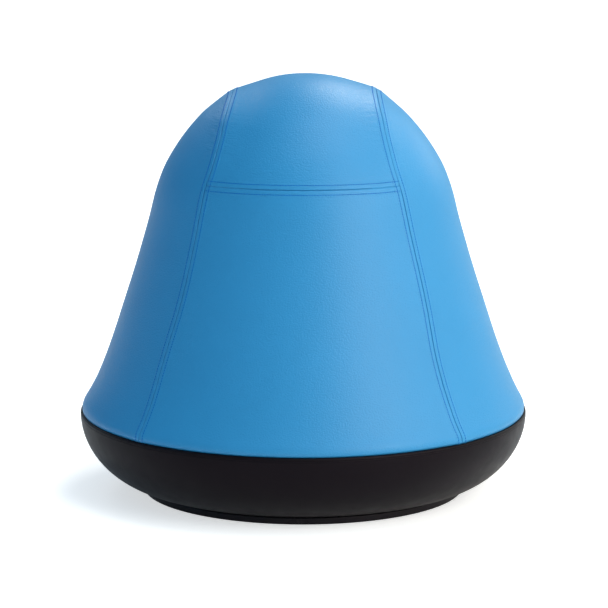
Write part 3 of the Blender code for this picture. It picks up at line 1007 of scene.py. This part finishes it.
def bowl_profile():
    """The bowl's section, from the inside floor up over the lip and down the outer side."""
    side = bezier(
        BOWL_WIDEST,
        (BOWL_WIDEST[0], BOWL_WIDEST[1] - BOWL_SIDE_HANDLE),
        (
            BOWL_EDGE[0] + BOWL_EDGE_HANDLE * math.cos(BOWL_SLOPE),
            BOWL_EDGE[1] + BOWL_EDGE_HANDLE * math.sin(BOWL_SLOPE),
        ),
        BOWL_EDGE,
        64,
    )
    lining = []
    for before, here, after in zip(side, side[1:], side[2:]):
        along = (Vector(after) - Vector(before)).normalized()
        point = (here[0] + along.y * BOWL_WALL, here[1] - along.x * BOWL_WALL)
        if point[1] > BOWL_FLOOR_TOP:
            lining.append(point)
    lip = []
    for step in range(13):
        angle = math.pi * (1 - step / 12)
        radius = BOWL_WIDEST[0] - LIP_RADIUS + LIP_RADIUS * math.cos(angle)
        lip.append((radius, BOWL_WIDEST[1] + LIP_RADIUS * math.sin(angle)))
    # A fine shadow line runs round the outside just below the lip
    line = [(radius, z) for radius, z in side[1:] if z < LIP_FOOT]
    shadow = [
        (293.19 * MM, 102.4 * MM),
        (292.8 * MM, 102.1 * MM),
        (292.8 * MM, 101.8 * MM),
        (293.15 * MM, 101.5 * MM),
    ]
    profile = [(0.0, BOWL_FLOOR_TOP), (209.9 * MM, BOWL_FLOOR_TOP)]
    profile += list(reversed(lining)) + lip + shadow + line
    profile += rounded(
        [
            BOWL_EDGE,
            (212.6 * MM, 10.9 * MM),
            (199 * MM, 11.2 * MM),
            (195 * MM, 16.1 * MM),
            (0.0, 16.1 * MM),
        ],
        1.0 * MM,
    )[1:]
    return profile


class SEAT_OT_bowl(bpy.types.Operator):
    """Turns the black bowl, with its rolled lip and the posts for the deck's screws"""

    bl_idname = "seat.bowl"
    bl_label = "Bowl"

    def execute(self, context):
        base = context.scene.seat_base
        bm = spun(bowl_profile(), base.steps)
        places = around(6, POST_CIRCLE, math.radians(30))
        pegs(bm, places, 54.6 * MM, 43.2 * MM, (6 * MM, 6 * MM), 24)
        material = moulded_plastic(
            "bowl_plastic", tuple(base.colour), base.roughness, shine=0.1, tint=(1.0, 0.78, 0.9)
        )
        bowl = add_object("bowl", bm, material, "bowl_plastic")
        bowl.data.set_sharp_from_angle(angle=math.radians(50))
        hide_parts("base_bowl")
        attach(bowl, "base")
        return {"FINISHED"}


def foot_profile():
    return rounded(
        [
            (0.0, 6.9 * MM),
            (188 * MM, 6.9 * MM),
            (191 * MM, 9.4 * MM),
            (210.6 * MM, 9.4 * MM),
            (210.6 * MM, 2.4 * MM),
            (210.6 * MM, 0.4 * MM),
            (206.3 * MM, 0.4 * MM),
            (206.3 * MM, 3.3 * MM),
            (195.7 * MM, 3.3 * MM),
            (195.7 * MM, 0.4 * MM),
            (190 * MM, 0.4 * MM),
            (190 * MM, 3.9 * MM),
            (0.0, 3.9 * MM),
        ],
        2.4 * MM,
        6,
    )


def pegs(bm, places, height, depth, radii, segments):
    """Adds upright round pegs, (radius below, radius above), with their middles at a height."""
    for x, y in places:
        bmesh.ops.create_cone(
            bm,
            cap_ends=True,
            segments=segments,
            radius1=radii[0],
            radius2=radii[1],
            depth=depth,
            matrix=Matrix.Translation((x, y, height)),
        )


def drilled(obj, radius, places):
    """Cuts upright holes through a piece."""
    bm = bmesh.new()
    pegs(bm, places, 10 * MM, 30 * MM, (radius, radius), 32)
    mesh = bpy.data.meshes.new("hole_cutter")
    bm.to_mesh(mesh)
    bm.free()
    cutter = bpy.data.objects.new("hole_cutter", mesh)
    bpy.context.scene.collection.objects.link(cutter)
    cut = obj.modifiers.new("Hole", "BOOLEAN")
    cut.operation = "DIFFERENCE"
    cut.solver = "EXACT"
    cut.object = cutter
    bpy.context.view_layer.update()
    graph = bpy.context.evaluated_depsgraph_get()
    result = bpy.data.meshes.new_from_object(obj.evaluated_get(graph))
    obj.modifiers.clear()
    obj.data = result
    bpy.data.objects.remove(cutter)


class SEAT_OT_foot(bpy.types.Operator):
    """Turns the foot plate, with its access hole, and the rubber ring under it"""

    bl_idname = "seat.foot"
    bl_label = "Foot"

    def execute(self, context):
        base = context.scene.seat_base
        # The foot is black plastic; its colour is painted lighter than that, as painted light that
        # makes up for the light it loses in the bowl's shade
        foot_plastic = moulded_plastic(
            "foot_plastic",
            (0.017, 0.0155, 0.017),
            base.foot_roughness,
            shine=0.12,
            tint=(1.0, 0.85, 1.0),
        )
        bm = spun(foot_profile(), base.steps)
        foot = add_object("foot_disc", bm, foot_plastic, "foot_plastic")
        drilled(foot, 6 * MM, [(0.0, -SCREW_CIRCLE)])
        foot.data.shade_smooth()
        foot.data.set_sharp_from_angle(angle=math.radians(50))
        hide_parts("foot_plate")
        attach(foot, "foot")
        bosses = bmesh.new()
        places = around(4, SCREW_CIRCLE, math.radians(45))
        pegs(bosses, places, 3 * MM, 2.4 * MM, (4.4 * MM, 5 * MM), 32)
        bmesh.ops.bevel(
            bosses,
            geom=[edge for edge in bosses.edges if edge.calc_face_angle() > 0.7],
            offset=0.5 * MM,
            segments=3,
            profile=0.5,
            affect="EDGES",
            material=-1,
        )
        posts = add_object("foot_bosses", bosses, foot_plastic, "foot_plastic")
        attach(posts, "foot")
        grip = rounded(
            [
                (201 * MM, 3 * MM),
                (206 * MM, 3 * MM),
                (206 * MM, 0.0),
                (196 * MM, 0.0),
                (196 * MM, 3 * MM),
                (201 * MM, 3 * MM),
            ],
            0.8 * MM,
            4,
        )
        ring = add_object("grip_ring", spun(grip, base.steps), soft_rubber(), "grip_rubber")
        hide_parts("floor_grip_ring")
        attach(ring, "foot")
        return {"FINISHED"}


class SEAT_OT_inner_soft(bpy.types.Operator):
    """Makes the inflated ball, the cover's hem tape and the strap that holds it"""

    bl_idname = "seat.inner_soft"
    bl_label = "Ball and Hem"

    def execute(self, context):
        bm = bmesh.new()
        bmesh.ops.create_uvsphere(bm, u_segments=128, v_segments=80, radius=BALL_RADIUS)
        bmesh.ops.translate(bm, verts=bm.verts, vec=BALL_CENTRE)
        ball = add_object("inflated_ball", bm, ball_vinyl(), "ball_vinyl")
        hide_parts("ball")
        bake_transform(ball)
        tapes = (
            ("hem_tape", "hem_band", 284.0, 87.0, 106.2, (0.01, 0.04, 0.1), "hem_webbing"),
            ("hem_hoop", "hem_strap", 285.6, 89.0, 97.0, (0.02, 0.02, 0.02), "strap_webbing"),
        )
        for name, node, inner, bottom, top, colour, slot in tapes:
            middle = inner + 0.65
            section = [
                (middle, top),
                (inner + 1.3, top),
                (inner + 1.3, bottom),
                (inner, bottom),
                (inner, top),
                (middle, top),
            ]
            profile = rounded([(radius * MM, z * MM) for radius, z in section], 0.5 * MM, 3)
            tape = add_object(name, spun(profile, 144), webbing(slot, colour), slot)
            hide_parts(node)
            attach(tape, "base")
        return {"FINISHED"}


class SEAT_OT_hardware(bpy.types.Operator):
    """Gives the deck, the bearing, the screws and the valve plug their finishes"""

    bl_idname = "seat.hardware"
    bl_label = "Hardware Finishes"

    def execute(self, context):
        finishes = {
            "deck": moulded_plastic("deck_plastic", (0.02, 0.02, 0.022), 0.55, 0.2),
            "race_": plated_steel("race_steel", (0.6, 0.6, 0.58), 0.38),
            "bearing_ball": plated_steel("bearing_steel", (0.72, 0.72, 0.72), 0.2),
            "screw": plated_steel("screw_steel", (0.5, 0.5, 0.5), 0.35),
            "cage": moulded_plastic("cage_plastic", (0.6, 0.6, 0.56), 0.5),
            "valve": moulded_plastic("plug_plastic", (0.7, 0.7, 0.7), 0.45),
        }
        for name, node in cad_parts.items():
            if node.hide_render:
                continue
            found = [key for key in finishes if key in name]
            key = "screw" if "screw" in found else found[0]
            for place in node.material_slots:
                place.material = finishes[key]
            if not node.material_slots:
                node.data.materials.append(finishes[key])
        return {"FINISHED"}


# ---------------------------------------------------------------------------------------------
# The stage
# ---------------------------------------------------------------------------------------------


def softbox(name, place, aim, size, power, colour):
    light = bpy.data.lights.new(name, "AREA")
    light.shape = "RECTANGLE"
    light.size, light.size_y = size
    light.energy = power
    light.color = colour
    obj = bpy.data.objects.new(name, light)
    obj.location = place
    obj.rotation_euler = (Vector(aim) - Vector(place)).to_track_quat("-Z", "Y").to_euler()
    bpy.context.scene.collection.objects.link(obj)


class SEAT_OT_stage(bpy.types.Operator):
    """Sets up the pale floor, the soft studio lights and the camera"""

    bl_idname = "seat.stage"
    bl_label = "Stage"

    def execute(self, context):
        scene = context.scene
        stage = scene.seat_stage
        bm = bmesh.new()
        bmesh.ops.create_circle(bm, cap_ends=True, segments=96, radius=40.0)
        floor_finish = Finish("stage_floor", 0.9, shine=0.1)
        floor_finish.colour(floor_finish.noise(2, 2.0), (0.88, 0.88, 0.88), (0.9, 0.9, 0.9))
        # Painted light: the floor glows, more to the camera than on the seat, which lightens the
        # seat's shadow on it
        floor_finish.glow(0.6, 3.2, 0.6, stage.glow, 0.2)
        mesh = bpy.data.meshes.new("stage_floor")
        bm.to_mesh(mesh)
        bm.free()
        mesh.materials.append(floor_finish.material)
        floor = bpy.data.objects.new("stage_floor", mesh)
        scene.collection.objects.link(floor)

        world = bpy.data.worlds.new("white_room")
        world.use_nodes = True
        nodes, links = world.node_tree.nodes, world.node_tree.links
        background = nodes["Background"]
        tone = nodes.new("ShaderNodeMix")
        tone.data_type = "RGBA"
        tone.inputs["A"].default_value = (0.45, 0.94, 1.4, 1.0)
        tone.inputs["B"].default_value = (1.0, 0.96, 0.88, 1.0)
        across = nodes.new("ShaderNodeMapRange")
        across.inputs["From Min"].default_value = -1.0
        direction = nodes.new("ShaderNodeTexCoord").outputs["Generated"]
        parts = nodes.new("ShaderNodeSeparateXYZ")
        brightness = nodes.new("ShaderNodeMapRange")
        brightness.inputs["From Min"].default_value = -1.0
        brightness.inputs["To Min"].default_value = stage.room * 0.4
        brightness.inputs["To Max"].default_value = stage.room * 1.4
        links.new(direction, parts.inputs["Vector"])
        links.new(parts.outputs["X"], brightness.inputs["Value"])
        links.new(parts.outputs["X"], across.inputs["Value"])
        links.new(across.outputs["Result"], tone.inputs["Factor"])
        links.new(tone.outputs["Result"], background.inputs["Color"])
        links.new(brightness.outputs["Result"], background.inputs["Strength"])
        scene.world = world

        white = (1, 1, 1)
        warm = (1.0, 0.965, 0.88)
        middle = (0, 0, 0.3)
        softbox("key_box", (1.75, -1.95, 1.4), middle, (1.7, 1.8), stage.key, warm)
        softbox("side_box", (2.6, -0.5, 1.5), middle, (1.7, 1.8), stage.side, warm)
        softbox("fill_box", (-2.5, -0.7, 1.0), middle, (1.6, 1.6), stage.fill, (0.05, 0.66, 1.0))
        softbox("top_box", (0.6, -0.3, 2.5), middle, (1.6, 1.2), stage.top, white)
        softbox("back_box_right", (0.95, 2.6, 3.0), middle, (1.3, 1.0), stage.back, warm)
        softbox("back_box_side", (2.0, 2.1, 1.3), middle, (1.3, 1.2), stage.back * 0.22, warm)
        softbox("back_box_left", (-1.3, 2.5, 2.1), middle, (0.9, 0.7), stage.back * 0.2, white)

        camera = bpy.data.cameras.new("studio_camera")
        camera.sensor_width = 36.0
        camera.lens = 266.4
        camera.clip_end = 100.0
        view = bpy.data.objects.new("studio_camera", camera)
        view.location = (0.0005, -5.788, 1.418)
        aim = Vector((0.001, 0.0, 0.2455))
        view.rotation_euler = (aim - view.location).to_track_quat("-Z", "Y").to_euler()
        scene.collection.objects.link(view)
        scene.camera = view
        scene.view_settings.view_transform = "Standard"
        return {"FINISHED"}


class SEAT_PT_panel(bpy.types.Panel):
    bl_idname = "SEAT_PT_panel"
    bl_label = "Balance Dome Seat"
    bl_space_type = "VIEW_3D"
    bl_region_type = "UI"
    bl_category = "Seat"

    def draw(self, context):
        layout = self.layout
        for group in (context.scene.seat_cover, context.scene.seat_base, context.scene.seat_stage):
            box = layout.box()
            for name in group.__annotations__:
                box.prop(group, name)
        for operator in STEPS:
            layout.operator(operator.bl_idname)


STEPS = (
    SEAT_OT_stage,
    SEAT_OT_cover_panels,
    SEAT_OT_seams,
    SEAT_OT_stitching,
    SEAT_OT_bowl,
    SEAT_OT_foot,
    SEAT_OT_inner_soft,
    SEAT_OT_hardware,
)
CLASSES = (SEAT_PG_cover, SEAT_PG_base, SEAT_PG_stage, *STEPS, SEAT_PT_panel)


def register():
    for cls in CLASSES:
        bpy.utils.register_class(cls)
    bpy.types.Scene.seat_cover = PointerProperty(type=SEAT_PG_cover)
    bpy.types.Scene.seat_base = PointerProperty(type=SEAT_PG_base)
    bpy.types.Scene.seat_stage = PointerProperty(type=SEAT_PG_stage)


def unregister():
    del bpy.types.Scene.seat_stage
    del bpy.types.Scene.seat_base
    del bpy.types.Scene.seat_cover
    for cls in reversed(CLASSES):
        bpy.utils.unregister_class(cls)


def main():
    register()
    bpy.ops.seat.stage()
    bpy.ops.seat.cover_panels()
    bpy.ops.seat.seams()
    bpy.ops.seat.stitching()
    bpy.ops.seat.bowl()
    bpy.ops.seat.foot()
    bpy.ops.seat.inner_soft()
    bpy.ops.seat.hardware()
    bpy.context.view_layer.update()


if __name__ == "__main__":
    main()
